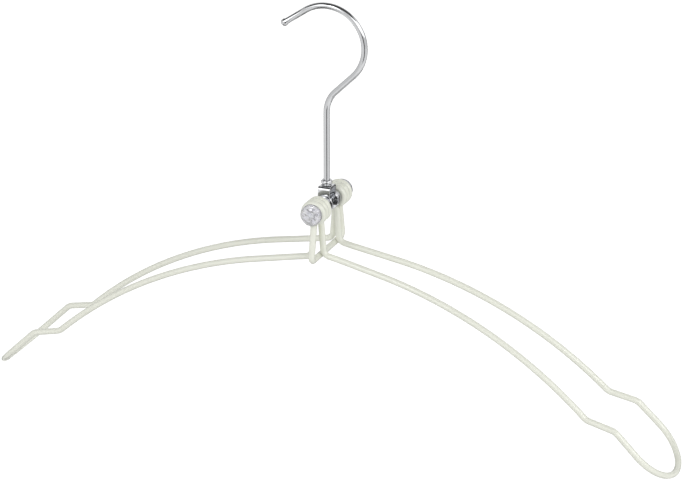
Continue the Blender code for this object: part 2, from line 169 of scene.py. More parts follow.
def colour(written):
    """An sRGB hex colour as the linear colour that a shader takes."""
    parts = [int(written[i:i + 2], 16) / 255 for i in (1, 3, 5)]
    linear = [p / 12.92 if p <= 0.04045 else ((p + 0.055) / 1.055) ** 2.4 for p in parts]
    return (*linear, 1.0)


def add_node(tree, kind, inputs=(), **fields):
    """Add a node, set its fields, and set or link its inputs."""
    made = tree.nodes.new("ShaderNode" + kind)
    for field, value in fields.items():
        setattr(made, field, value)
    for socket, value in dict(inputs).items():
        if isinstance(value, bpy.types.NodeSocket):
            tree.links.new(value, made.inputs[socket])
        else:
            made.inputs[socket].default_value = value
    return made


def new_finish(name):
    """A material with nothing in it yet."""
    finish = bpy.data.materials.new(name)
    finish.use_nodes = True
    finish.node_tree.nodes.clear()
    return finish, finish.node_tree


# Bright chrome on drawn wire: a cold, slightly blue mirror. The die leaves lines along
# the wire, 0.03 mm apart under the plate; they are drawn 0.35 mm apart so that they
# show, as a faint softening of the reflections.
drawn_chrome, tree = new_finish("bright_chrome_on_drawn_wire")
skin = add_node(tree, "Attribute", attribute_name="skin")
drawn = add_node(tree, "Mapping", {"Vector": skin.outputs["Vector"], "Scale": (1, 1, 0.02)})
lines = add_node(tree, "TexNoise", {"Vector": drawn.outputs[0], "Scale": 1 / 0.00035, "Detail": 2.0})
peel = add_node(tree, "TexNoise", {"Vector": skin.outputs["Vector"], "Scale": 1 / 0.004})
polish = add_node(
    tree,
    "MapRange",
    {"Value": lines.outputs["Fac"], "From Min": 0.3, "From Max": 0.7, "To Min": 0.05, "To Max": 0.11},
)
tint = add_node(
    tree,
    "Mix",
    {"Factor": peel.outputs["Fac"], "A": colour("#BABBBD"), "B": colour("#C2C3C4")},
    data_type="RGBA",
)
ripple = add_node(
    tree,
    "Bump",
    {"Height": lines.outputs["Fac"], "Strength": 0.3, "Distance": 0.00001},
)
shader = add_node(
    tree,
    "BsdfPrincipled",
    {
        "Base Color": tint.outputs["Result"],
        "Metallic": 1.0,
        "Roughness": polish.outputs["Result"],
        "Normal": ripple.outputs["Normal"],
    },
)
add_node(tree, "OutputMaterial", {"Surface": shader.outputs["BSDF"]})

# The riveted foot: a dome, its rim, and in to the wire
foot = AXLE + Vector((0, 0, RIVET_FOOT))
first = math.radians(90) / RIVET_DOME_STEPS
hook = BentWire(RIVET_RADIUS * math.sin(first), HOOK_WIRE_SIDES, foot, (0, 0, 1))
dome_rise = RIVET_DOME_HEIGHT * (1 - math.cos(first))
for i in range(2, RIVET_DOME_STEPS + 1):
    angle = first * i
    rise = RIVET_DOME_HEIGHT * (1 - math.cos(angle))
    hook.straight(rise - dome_rise, RIVET_RADIUS * math.sin(angle))
    dome_rise = rise
hook.straight(AXLE.z + RIVET_TOP - hook.tip.z)
hook.straight(0.0, HOOK_WIRE_RADIUS)

# The stem, the throat's bend, the crown and the drooping tail
lean_height = CROWN_HEIGHT - CROWN_RADIUS / math.sin(THROAT_LEAN)
bend_reach = THROAT_BEND_RADIUS * math.tan(THROAT_LEAN / 2)
hook.straight(AXLE.z + lean_height - bend_reach - hook.tip.z)
hook.bend(THROAT_BEND_RADIUS, THROAT_LEAN, ACROSS, HOOK_BEND_STEP)
hook.straight(CROWN_RADIUS / math.tan(THROAT_LEAN) - bend_reach)
crown_turn = math.radians(90) + THROAT_LEAN + TAIL_DROOP
hook.bend(CROWN_RADIUS, crown_turn, -ACROSS, HOOK_BEND_STEP)
hook.straight(TAIL_LENGTH)

# The ball swells from the tail's end and closes over the tip
enter = math.sqrt(TIP_BALL_RADIUS**2 - HOOK_WIRE_RADIUS**2)
ball_start = math.acos(-enter / TIP_BALL_RADIUS)
along_ball = -enter
for i in range(1, TIP_BALL_STEPS):
    angle = ball_start * (1 - i / TIP_BALL_STEPS)
    reach = TIP_BALL_RADIUS * math.cos(angle)
    hook.straight(reach - along_ball, TIP_BALL_RADIUS * math.sin(angle))
    along_ball = reach
hook.close_ends()
hook_wire = make_solid_piece("hook_wire", hook.shape, drawn_chrome)
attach(hook_wire, "hook")
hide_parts("hook")

# Collar and washer. The collar is a steel bead turned on a lathe, with a groove above
# its foot, pressed on the stem to carry the bracket's play; the washer lies under the
# bracket's plate and the rivet bears on it. Both are bright chrome plated.
COLLAR_BORE = 0.0019
COLLAR_TOP = 0.0137
COLLAR_TOP_RADIUS = 0.0025
COLLAR_RADIUS = 0.00315
COLLAR_BELLY_TOP = 0.0131
COLLAR_BELLY_FOOT = 0.0119
COLLAR_UNDER_RADIUS = 0.0028
COLLAR_GROOVE_TOP = 0.0114
COLLAR_GROOVE_RADIUS = 0.002
COLLAR_FOOT_TOP = 0.0109
COLLAR_FOOT_RADIUS = 0.003
COLLAR_FOOT = 0.0106
COLLAR_BELLY_ROUNDING = 0.0004
COLLAR_ROUNDING = 0.0002
COLLAR_FINE_ROUNDING = 0.0001
WASHER_BORE = 0.00205
WASHER_RADIUS = 0.0029
WASHER_UNDER = 0.0082
WASHER_TOP = 0.0088
WASHER_ROUNDING = 0.0001
WASHER_UNDER_ROUNDING = 0.0002
TURNED_SIDES = 64
TURNED_ROUNDING_STEPS = 5
UPRIGHT = Matrix.Translation(AXLE)


def turn_on_lathe(profile, facing, closed=True):
    """Spin an outline of (radius, length, rounding) points once round its axis, then
    round each corner that asks for it."""
    shape = bmesh.new()
    points = [shape.verts.new((radius, 0, length)) for radius, length, _ in profile]
    for one, other in zip(points, points[1:]):
        shape.edges.new((one, other))
    if closed:
        shape.edges.new((points[-1], points[0]))
    bmesh.ops.spin(
        shape,
        geom=shape.verts[:] + shape.edges[:],
        cent=(0, 0, 0),
        axis=(0, 0, 1),
        angle=math.radians(360),
        steps=TURNED_SIDES,
        use_merge=True,
        use_normal_flip=False,
        use_duplicate=False,
    )
    bmesh.ops.remove_doubles(shape, verts=shape.verts, dist=WELD_DISTANCE)
    for radius, length, rounding in profile:
        if rounding:
            rim = [edge for edge in shape.edges if all(
                abs(vert.co.z - length) < WELD_DISTANCE
                and abs(vert.co.xy.length - radius) < WELD_DISTANCE
                for vert in edge.verts
            )]
            bmesh.ops.bevel(
                shape,
                geom=rim,
                offset=rounding,
                offset_type="OFFSET",
                segments=TURNED_ROUNDING_STEPS,
                profile=0.5,
                affect="EDGES",
                material=-1,
                clamp_overlap=True,
            )
    bmesh.ops.transform(shape, matrix=facing, verts=shape.verts)
    return shape


# Bright plate on turned steel: chrome as cold as the hook's, or zinc with a softer
# mirror, and the tool's fine rings round the axis of the piece. Real ones are 0.05 mm
# apart; they are drawn at 0.25 mm.
def turned_plate_finish(name, upright, dark, light, roughness):
    """The rings follow the distance from the stem or from the axle and the length along it."""
    finish, tree = new_finish(name)
    place = add_node(tree, "TexCoord")
    centred = add_node(tree, "Mapping", {"Vector": place.outputs["Object"], "Location": -AXLE})
    parts = add_node(tree, "SeparateXYZ", {0: centred.outputs[0]})
    beside, length = ("Y", "Z") if upright else ("Z", "Y")
    flat = add_node(tree, "CombineXYZ", {"X": parts.outputs["X"], "Y": parts.outputs[beside]})
    radius = add_node(tree, "VectorMath", {0: flat.outputs[0]}, operation="LENGTH")
    turned = add_node(
        tree,
        "CombineXYZ",
        {"X": radius.outputs["Value"], "Y": parts.outputs[length]},
    )
    rings = add_node(tree, "TexNoise", {"Vector": turned.outputs[0], "Scale": 1 / 0.00025})
    cloud = add_node(tree, "TexNoise", {"Vector": place.outputs["Object"], "Scale": 1 / 0.002})
    polish = add_node(
        tree,
        "MapRange",
        {
            "Value": rings.outputs["Fac"],
            "From Min": 0.3,
            "From Max": 0.7,
            "To Min": roughness,
            "To Max": 2 * roughness,
        },
    )
    tint = add_node(
        tree,
        "Mix",
        {"Factor": cloud.outputs["Fac"], "A": colour(dark), "B": colour(light)},
        data_type="RGBA",
    )
    groove = add_node(
        tree,
        "Bump",
        {"Height": rings.outputs["Fac"], "Strength": 0.25, "Distance": 0.00001},
    )
    shader = add_node(
        tree,
        "BsdfPrincipled",
        {
            "Base Color": tint.outputs["Result"],
            "Metallic": 1.0,
            "Roughness": polish.outputs["Result"],
            "Normal": groove.outputs["Normal"],
        },
    )
    add_node(tree, "OutputMaterial", {"Surface": shader.outputs["BSDF"]})
    return finish


stem_chrome = turned_plate_finish("bright_chrome_on_turned_bead", True, "#BFC0C2", "#C8C9CB", 0.06)
collar_outline = [
    (COLLAR_BORE, COLLAR_TOP, 0.0),
    (COLLAR_TOP_RADIUS, COLLAR_TOP, COLLAR_ROUNDING),
    (COLLAR_RADIUS, COLLAR_BELLY_TOP, COLLAR_BELLY_ROUNDING),
    (COLLAR_RADIUS, COLLAR_BELLY_FOOT, COLLAR_ROUNDING),
    (COLLAR_UNDER_RADIUS, COLLAR_GROOVE_TOP, COLLAR_FINE_ROUNDING),
    (COLLAR_GROOVE_RADIUS, COLLAR_GROOVE_TOP, 0.0),
    (COLLAR_GROOVE_RADIUS, COLLAR_FOOT_TOP, 0.0),
    (COLLAR_FOOT_RADIUS, COLLAR_FOOT_TOP, COLLAR_ROUNDING),
    (COLLAR_FOOT_RADIUS, COLLAR_FOOT, COLLAR_FINE_ROUNDING),
    (COLLAR_BORE, COLLAR_FOOT, 0.0),
]
collar = make_solid_piece("stem_collar", turn_on_lathe(collar_outline, UPRIGHT), stem_chrome)
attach(collar, "hook")
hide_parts("hook_collar")

washer_outline = [
    (WASHER_BORE, WASHER_TOP, 0.0),
    (WASHER_RADIUS, WASHER_TOP, WASHER_ROUNDING),
    (WASHER_RADIUS, WASHER_UNDER, WASHER_UNDER_ROUNDING),
    (WASHER_BORE, WASHER_UNDER, 0.0),
]
washer = make_solid_piece("rivet_washer", turn_on_lathe(washer_outline, UPRIGHT), stem_chrome)
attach(washer, "hook")
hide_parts("hook_washer")

# Bracket. Mild steel strap of 1.2 mm, blanked with a round boss at each end, drilled
# and folded to an upside-down U over the axle. Its edges are tumbled round and it is
# bright chrome plated.
STRAP_THICKNESS = 0.0012
STRAP_EDGE = 0.00022
STRAP_EDGE_STEPS = 3
SHEET_CORNER = math.radians(50)
BOSS_RADIUS = 0.0055
BOSS_SIDES = 52
NECK_STEPS = 6
AXLE_HOLE_RADIUS = 0.0023
STEM_HOLE_RADIUS = 0.00205
FOLD_RADIUS = 0.0019
FOLD_STEPS = 8
BRACKET_FACE = 0.00475
PLATE_TOP = 0.0103

# The front boss is a ring round the axle's hole; the top of its rim is drawn up to a
# level line and rolled over in the fold, and the rear half is its mirror image
strap = bmesh.new()
bmesh.ops.create_circle(strap, segments=BOSS_SIDES, radius=AXLE_HOLE_RADIUS)
hole_edges = strap.edges[:]
bmesh.ops.create_circle(strap, segments=BOSS_SIDES, radius=BOSS_RADIUS)
boss_edges = [edge for edge in strap.edges if edge not in hole_edges]
bmesh.ops.bridge_loops(strap, edges=strap.edges[:])
to_face = Matrix.Translation((0, -BRACKET_FACE, 0)) @ Matrix.Rotation(math.radians(90), 4, "X")
bmesh.ops.transform(strap, matrix=to_face, verts=strap.verts)
neck_angle = math.radians(360) / BOSS_SIDES * (NECK_STEPS + 0.5)
neck = [edge for edge in boss_edges if all(
    vert.co.z > BOSS_RADIUS * math.cos(neck_angle) for vert in edge.verts
)]
made = bmesh.ops.extrude_edge_only(strap, edges=neck)["geom"]
fold_z = PLATE_TOP - FOLD_RADIUS
risen = new_part(made, bmesh.types.BMVert)
bmesh.ops.scale(strap, vec=(1, 1, 0), space=Matrix.Translation((0, 0, -fold_z)), verts=risen)
fold_line = [edge for edge in new_part(made, bmesh.types.BMEdge) if all(
    abs(vert.co.z - fold_z) < WELD_DISTANCE for vert in edge.verts
)]
bmesh.ops.spin(
    strap,
    geom=fold_line,
    cent=(0, -BRACKET_FACE + FOLD_RADIUS, fold_z),
    axis=(-1, 0, 0),
    angle=math.radians(90),
    steps=FOLD_STEPS,
    use_merge=False,
    use_normal_flip=False,
    use_duplicate=False,
)
bmesh.ops.mirror(strap, geom=strap.verts[:] + strap.edges[:] + strap.faces[:], axis="Y")

# The two folds are joined at the sides, and the plate is filled in round the stem's hole
plate_rows = [edge for edge in strap.edges if edge.is_boundary and all(
    abs(vert.co.z - PLATE_TOP) < WELD_DISTANCE for vert in edge.verts
)]
plate_verts = {vert for edge in plate_rows for vert in edge.verts}
corners = []
for side in (-1, 1):
    outermost = max(side * vert.co.x for vert in plate_verts)
    pair = [vert for vert in plate_verts if side * vert.co.x > outermost - WELD_DISTANCE]
    corners.append(strap.edges.new(pair))
bmesh.ops.subdivide_edges(strap, edges=corners, cuts=NECK_STEPS - 1)
plate_loop = [edge for edge in strap.edges if (edge.is_boundary or edge.is_wire) and all(
    abs(vert.co.z - PLATE_TOP) < WELD_DISTANCE for vert in edge.verts
)]
stem_hole = bmesh.ops.create_circle(
    strap,
    segments=len(plate_loop),
    radius=STEM_HOLE_RADIUS,
    matrix=Matrix.Translation((0, 0, PLATE_TOP)),
)["verts"]
stem_loop = list({edge for vert in stem_hole for edge in vert.link_edges})
bmesh.ops.bridge_loops(strap, edges=plate_loop + stem_loop)
bmesh.ops.remove_doubles(strap, verts=strap.verts, dist=WELD_DISTANCE)
bmesh.ops.recalc_face_normals(strap, faces=strap.faces)
top_face = max(strap.faces, key=lambda face: face.calc_center_median().z)
if top_face.normal.z < 0:
    bmesh.ops.reverse_faces(strap, faces=strap.faces)
bmesh.ops.translate(strap, vec=AXLE, verts=strap.verts)

# Bright chrome on rolled strap: the strap's own slight waviness swims in the mirror,
# and handling has left hairline scratches; real ones are 0.02 mm wide and are drawn
# 0.15 mm wide.
strap_chrome, tree = new_finish("bright_chrome_on_rolled_strap")
place = add_node(tree, "TexCoord")
wave = add_node(tree, "TexNoise", {"Vector": place.outputs["Object"], "Scale": 1 / 0.0035})
slanted = add_node(
    tree,
    "Mapping",
    {"Vector": place.outputs["Object"], "Rotation": (0.5, 0.3, 0.9), "Scale": (1, 0.06, 0.06)},
)
hairlines = add_node(tree, "TexNoise", {"Vector": slanted.outputs[0], "Scale": 1 / 0.00015, "Detail": 1.0})
polish = add_node(
    tree,
    "MapRange",
    {"Value": hairlines.outputs["Fac"], "From Min": 0.45, "From Max": 0.75, "To Min": 0.06, "To Max": 0.2},
)
tint = add_node(
    tree,
    "Mix",
    {"Factor": wave.outputs["Fac"], "A": colour("#C9CACC"), "B": colour("#D2D3D5")},
    data_type="RGBA",
)
waviness = add_node(
    tree,
    "Bump",
    {"Height": wave.outputs["Fac"], "Strength": 0.5, "Distance": 0.0001},
)
shader = add_node(
    tree,
    "BsdfPrincipled",
    {
        "Base Color": tint.outputs["Result"],
        "Metallic": 1.0,
        "Roughness": polish.outputs["Result"],
        "Normal": waviness.outputs["Normal"],
    },
)
add_node(tree, "OutputMaterial", {"Surface": shader.outputs["BSDF"]})

bracket = make_piece("bracket_strap", strap, strap_chrome)
gauge = bracket.modifiers.new("strap_gauge", "SOLIDIFY")
gauge.thickness = STRAP_THICKNESS
gauge.offset = -1.0
gauge.use_even_offset = True
tumbled = bracket.modifiers.new("tumbled_edges", "BEVEL")
tumbled.width = STRAP_EDGE
tumbled.segments = STRAP_EDGE_STEPS
tumbled.limit_method = "ANGLE"
tumbled.angle_limit = SHEET_CORNER
tumbled.harden_normals = True
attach(bracket, "bracket")
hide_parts("bracket")

# Axle. Bright steel rod of 4 mm, cut to length, rounded at its ends and zinc plated. It
# passes through the bracket's bosses and both bushes and a push nut grips each end.
AXLE_RADIUS = 0.002
AXLE_END = 0.0231
AXLE_ROUNDING = 0.0004
FRONT = UPRIGHT @ Matrix.Rotation(math.radians(90), 4, "X")
REAR = UPRIGHT @ Matrix.Rotation(math.radians(-90), 4, "X")

axle_zinc = turned_plate_finish("bright_zinc_on_axle_rod", False, "#D2D4D8", "#E2E4E8", 0.14)
axle_outline = [
    (0.0, AXLE_END, 0.0),
    (AXLE_RADIUS, AXLE_END, AXLE_ROUNDING),
    (AXLE_RADIUS, -AXLE_END, AXLE_ROUNDING),
    (0.0, -AXLE_END, 0.0),
]
axle = make_solid_piece("axle_rod", turn_on_lathe(axle_outline, FRONT, closed=False), axle_zinc)
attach(axle, "bracket")
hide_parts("axle")

# Bushes. Free-cutting steel, turned with a broad shoulder that keeps the eyes clear of
# the bracket and a sleeve that the eyes turn on. The shoulder's edges are rounded and
# the whole is bright zinc plated, a little duller than the chrome.
BUSH_BORE = 0.0023
BUSH_SLEEVE_RADIUS = 0.00355
BUSH_FOOT = 0.00505
BUSH_SHOULDER_END = 0.0092
BUSH_SHOULDER_RADIUS = 0.0053
BUSH_SHOULDER_ROUNDING = 0.0004
BUSH_SLEEVE_ROUNDING = 0.0002
STACK_END = 0.0209
HUB_ENDS = (("front", FRONT), ("rear", REAR))

bush_zinc = turned_plate_finish("bright_zinc_on_turned_bush", False, "#B2B3B6", "#BDBEC1", 0.09)
bush_outline = [
    (BUSH_BORE, STACK_END, 0.0),
    (BUSH_SLEEVE_RADIUS, STACK_END, BUSH_SLEEVE_ROUNDING),
    (BUSH_SLEEVE_RADIUS, BUSH_SHOULDER_END, 0.0),
    (BUSH_SHOULDER_RADIUS, BUSH_SHOULDER_END, BUSH_SHOULDER_ROUNDING),
    (BUSH_SHOULDER_RADIUS, BUSH_FOOT, BUSH_SHOULDER_ROUNDING),
    (BUSH_BORE, BUSH_FOOT, 0.0),
]
for side, facing in HUB_ENDS:
    shape = turn_on_lathe(bush_outline, facing)
    bush = make_solid_piece(side + "_shoulder_bush", shape, bush_zinc)
    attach(bush, "bracket")
    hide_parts(side + "_bush")

# Stirrup. Mild steel wire in a skin of plasticised PVC, 3.6 mm thick over all, bent to
# an eye at each end and a crossbar below. The eyes hang outermost on the axle and the
# crossbar stops both arms from dropping further.
COATED_RADIUS = 0.0018
COATED_SIDES = 32
STEEL_CORE_RADIUS = 0.0013
COATING_ROUNDING = 0.00045
COATING_ROUNDING_STEPS = 4
CORE_RECESS = 0.00015
EYE_RADIUS = 0.00565
EYE_SWEEP = math.radians(302)
EYE_NECK_RADIUS = 0.004
EYE_STEP = math.radians(5)
SMALL_BEND_STEP = math.radians(6)
STIRRUP_LAYER = 0.0191
STIRRUP_SPLAY = math.radians(11)
STIRRUP_BEND_RADIUS = 0.0028
CROSSBAR_Z = -0.0281

# Extruded PVC skin in ivory: satin, a little soft, with slow ripples along the wire
# where the skin was drawn and cooled, and a faint grey bloom. The ripples are 3 to 6 mm
# long and the fine peel, really 0.2 mm, is drawn at 0.6 mm.
ivory_coating, tree = new_finish("satin_ivory_pvc_coating")
skin = add_node(tree, "Attribute", attribute_name="skin")
drawn = add_node(tree, "Mapping", {"Vector": skin.outputs["Vector"], "Scale": (1, 1, 0.4)})
slow = add_node(tree, "TexNoise", {"Vector": drawn.outputs[0], "Scale": 1 / 0.0045, "Detail": 2.0})
peel = add_node(tree, "TexNoise", {"Vector": skin.outputs["Vector"], "Scale": 1 / 0.0006})
bloom = add_node(tree, "TexNoise", {"Vector": skin.outputs["Vector"], "Scale": 1 / 0.012, "Detail": 3.0})
tint = add_node(
    tree,
    "Mix",
    {"Factor": bloom.outputs["Fac"], "A": colour("#E6E8DB"), "B": colour("#EDEEE3")},
    data_type="RGBA",
)
gloss = add_node(
    tree,
    "MapRange",
    {"Value": slow.outputs["Fac"], "From Min": 0.3, "From Max": 0.7, "To Min": 0.16, "To Max": 0.28},
)
relief = add_node(
    tree,
    "Math",
    {0: peel.outputs["Fac"], 1: 0.05, 2: slow.outputs["Fac"]},
    operation="MULTIPLY_ADD",
)
bump = add_node(
    tree,
    "Bump",
    {"Height": relief.outputs[0], "Strength": 0.5, "Distance": 0.00012},
)
shader = add_node(
    tree,
    "BsdfPrincipled",
    {
        "Base Color": tint.outputs["Result"],
        "Roughness": gloss.outputs["Result"],
        "IOR": 1.53,
        "Normal": bump.outputs["Normal"],
    },
)
add_node(tree, "OutputMaterial", {"Surface": shader.outputs["BSDF"]})

# Sheared steel: the core's cut face at each wire end, grey and matt, scored by the
# blade at 0.1 mm and drawn at 0.25 mm.
cut_core, tree = new_finish("sheared_steel_core")
place = add_node(tree, "TexCoord")
scored = add_node(tree, "Mapping", {"Vector": place.outputs["Object"], "Scale": (0.1, 1, 1)})
score = add_node(tree, "TexNoise", {"Vector": scored.outputs[0], "Scale": 1 / 0.00025})
grey = add_node(
    tree,
    "Mix",
    {"Factor": score.outputs["Fac"], "A": colour("#7F8083"), "B": colour("#A4A5A8")},
    data_type="RGBA",
)
shader = add_node(
    tree,
    "BsdfPrincipled",
    {"Base Color": grey.outputs["Result"], "Metallic": 1.0, "Roughness": 0.45},
)
add_node(tree, "OutputMaterial", {"Surface": shader.outputs["BSDF"]})


def start_at_eye(offset, splay, layer):
    """A coated wire from its cut end round the eye and back under it to the leg, which
    hangs at an offset from the axle and leans out by a splay."""
    neck_x = offset - EYE_NECK_RADIUS
    reach = EYE_RADIUS + EYE_NECK_RADIUS
    join = math.atan2(-math.sqrt(reach**2 - neck_x**2), neck_x)
    begin = join - EYE_SWEEP + splay
    across = Vector((math.cos(begin), 0, math.sin(begin)))
    along = Vector((-math.sin(begin), 0, math.cos(begin)))
    start = AXLE - layer * ACROSS + EYE_RADIUS * across
    wire = BentWire(COATED_RADIUS, COATED_SIDES, start, along)
    wire.bend(EYE_RADIUS, EYE_SWEEP, -ACROSS, EYE_STEP)
    wire.bend(EYE_NECK_RADIUS, join + math.radians(180), ACROSS, SMALL_BEND_STEP)
    return wire


def cut_and_mirror(wire):
    """The front half mirrored to the rear, with both cut ends rounded and cored."""
    shape = wire.shape
    everything = shape.verts[:] + shape.edges[:] + shape.faces[:]
    bmesh.ops.mirror(shape, geom=everything, axis="Y", merge_dist=WELD_DISTANCE)
    bmesh.ops.remove_doubles(shape, verts=shape.verts, dist=WELD_DISTANCE)
    caps = wire.close_ends()
    bmesh.ops.recalc_face_normals(shape, faces=shape.faces)
    rims = list({edge for cap in caps for edge in cap.edges})
    bmesh.ops.bevel(
        shape,
        geom=rims,
        offset=COATING_ROUNDING,
        offset_type="OFFSET",
        segments=COATING_ROUNDING_STEPS,
        profile=0.5,
        affect="EDGES",
        material=-1,
        clamp_overlap=True,
    )
    caps = [face for face in shape.faces if len(face.verts) == COATED_SIDES]
    border = COATED_RADIUS - COATING_ROUNDING - STEEL_CORE_RADIUS
    bmesh.ops.inset_individual(shape, faces=caps, thickness=border, use_even_offset=True)
    bmesh.ops.inset_individual(
        shape, faces=caps, thickness=CORE_RECESS / 2, depth=-CORE_RECESS, use_even_offset=True
    )
    for cap in caps:
        cap.material_index = 1
    return shape


# The leg leans out from the eye, then turns in sharply to the crossbar
ALONG = Vector((1, 0, 0))
stirrup = start_at_eye(0.0, 0.0, STIRRUP_LAYER)
stirrup.bend(EYE_NECK_RADIUS, STIRRUP_SPLAY, -ALONG, SMALL_BEND_STEP)
corner_drop = STIRRUP_BEND_RADIUS * (1 + math.sin(STIRRUP_SPLAY))
leg_drop = stirrup.tip.z - AXLE.z - CROSSBAR_Z - corner_drop
stirrup.straight(leg_drop / math.cos(STIRRUP_SPLAY))
stirrup.bend(STIRRUP_BEND_RADIUS, math.radians(90) + STIRRUP_SPLAY, ALONG, SMALL_BEND_STEP)
stirrup.straight(-stirrup.tip.y)
stirrup_wire = make_solid_piece("stirrup_wire", cut_and_mirror(stirrup), ivory_coating, cut_core)
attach(stirrup_wire, "stirrup")
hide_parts("stop_yoke")

# Arms. Each is one length of the same coated wire: an eye and a leg, a heel that rests
# on the stirrup's crossbar, a curved shoulder with a notch for straps and a loop at the
# tip, and back the same way. The right arm's eyes lie inside the left arm's.
LEG_OFFSET = 0.0007
LEG_SPLAY = math.radians(4.4)
LEG_LENGTH = 0.0239
HEEL_RADIUS = 0.0045
RUN_SLOPE = math.radians(11)
RUN_END_X = 0.037
SPREAD_START_X = 0.012
SHOULDER_RADIUS = 0.258
SHOULDER_STEP = math.radians(0.8)
NOTCH_X = 0.1605
NOTCH_SLOPE = math.radians(12)
NOTCH_LENGTH = 0.0133
NOTCH_BEND_RADIUS = 0.007
TIP_SLOPE = math.radians(43.6)
TIP_LOOP_STEP = math.radians(3)
HALF_SPAN = 0.210
TIP_LOOP_RADIUS = 0.0225
RIGHT_LAYER = 0.0113
LEFT_LAYER = 0.0152

for name, node, side, layer in (
    ("left_arm_wire", "left_arm", -1, LEFT_LAYER),
    ("right_arm_wire", "right_arm", 1, RIGHT_LAYER),
):
    arm = start_at_eye(LEG_OFFSET, LEG_SPLAY, layer)
    neck_x = LEG_OFFSET - EYE_NECK_RADIUS
    neck_depth = math.sqrt((EYE_RADIUS + EYE_NECK_RADIUS) ** 2 - neck_x**2)
    arm.straight(LEG_LENGTH - neck_depth)
    heel_turn = math.radians(90) - RUN_SLOPE - LEG_SPLAY
    arm.bend(HEEL_RADIUS, heel_turn, -ACROSS, SMALL_BEND_STEP)
    arm.straight((SPREAD_START_X - arm.tip.x) / math.cos(RUN_SLOPE))
    arm.straight((RUN_END_X - SPREAD_START_X) / math.cos(RUN_SLOPE))
    shoulder_slope = math.asin(math.sin(RUN_SLOPE) + (NOTCH_X - RUN_END_X) / SHOULDER_RADIUS)
    arm.bend(SHOULDER_RADIUS, shoulder_slope - RUN_SLOPE, ACROSS, SHOULDER_STEP)
    arm.bend(NOTCH_BEND_RADIUS, shoulder_slope - NOTCH_SLOPE, -ACROSS, SMALL_BEND_STEP)
    arm.straight(NOTCH_LENGTH)
    arm.bend(NOTCH_BEND_RADIUS, TIP_SLOPE - NOTCH_SLOPE, ACROSS, SMALL_BEND_STEP)
    loop_start = HALF_SPAN - COATED_RADIUS - TIP_LOOP_RADIUS * math.cos(TIP_SLOPE)
    arm.straight((loop_start - arm.tip.x) / math.cos(TIP_SLOPE))

    # The front half is sprung outward from the heel on, then closed in the tip's loop
    widening = TIP_LOOP_RADIUS - layer
    spring = Matrix.Identity(4)
    spring[1][0] = -widening / (loop_start - SPREAD_START_X)
    last_ring = {vert for edge in arm.ring for vert in edge.verts}
    sprung = [
        vert for vert in arm.shape.verts
        if vert.co.x > SPREAD_START_X and vert not in last_ring
    ]
    hinge = Matrix.Translation((-SPREAD_START_X, 0, 0))
    bmesh.ops.transform(arm.shape, matrix=spring, space=hinge, verts=sprung)
    bmesh.ops.translate(arm.shape, vec=(0, -widening, 0), verts=list(last_ring))
    arm.tip.y = -TIP_LOOP_RADIUS
    arm.bend(TIP_LOOP_RADIUS, math.radians(90), arm.heading.cross(ACROSS), TIP_LOOP_STEP)
    shape = cut_and_mirror(arm)
    bmesh.ops.scale(shape, vec=(side, 1, 1), verts=shape.verts)
    arm_wire = make_solid_piece(name, shape, ivory_coating, cut_core)
    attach(arm_wire, node)
    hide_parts(node)

# Push nuts. Spring steel sheet of 0.4 mm, blanked and dished, with six teeth that bite
# the axle's end and hold the eyes on the bush. Hardened, tempered and nickel plated.
NUT_RADIUS = 0.0051
NUT_RIM = 0.004
NUT_TOOTH_TIP = 0.0023
NUT_SHEET = 0.0004
NUT_DISH = 0.0006
NUT_SEAT = 0.0212
NUT_SIDES = 72
NUT_TEETH = 6
NUT_SLOT_SIDES = 4
NUT_EDGE = 0.00006
NUT_EDGE_STEPS = 2
TOOTH_STEPS = 3

# Bright nickel on spring steel: a pale, soft mirror that glints through the clear cap,
# a little uneven every 1.5 mm or so where the steel was tempered.
nut_steel, tree = new_finish("nickel_on_spring_steel")
place = add_node(tree, "TexCoord")
temper = add_node(tree, "TexNoise", {"Vector": place.outputs["Object"], "Scale": 1 / 0.0015})
grain = add_node(tree, "TexNoise", {"Vector": place.outputs["Object"], "Scale": 1 / 0.0003})
tint = add_node(
    tree,
    "Mix",
    {"Factor": temper.outputs["Fac"], "A": colour("#F0EFF2"), "B": colour("#FBFAFC")},
    data_type="RGBA",
)
polish = add_node(
    tree,
    "MapRange",
    {"Value": grain.outputs["Fac"], "From Min": 0.3, "From Max": 0.7, "To Min": 0.12, "To Max": 0.24},
)
shader = add_node(
    tree,
    "BsdfPrincipled",
    {"Base Color": tint.outputs["Result"], "Metallic": 1.0, "Roughness": polish.outputs["Result"]},
)
add_node(tree, "OutputMaterial", {"Surface": shader.outputs["BSDF"]})

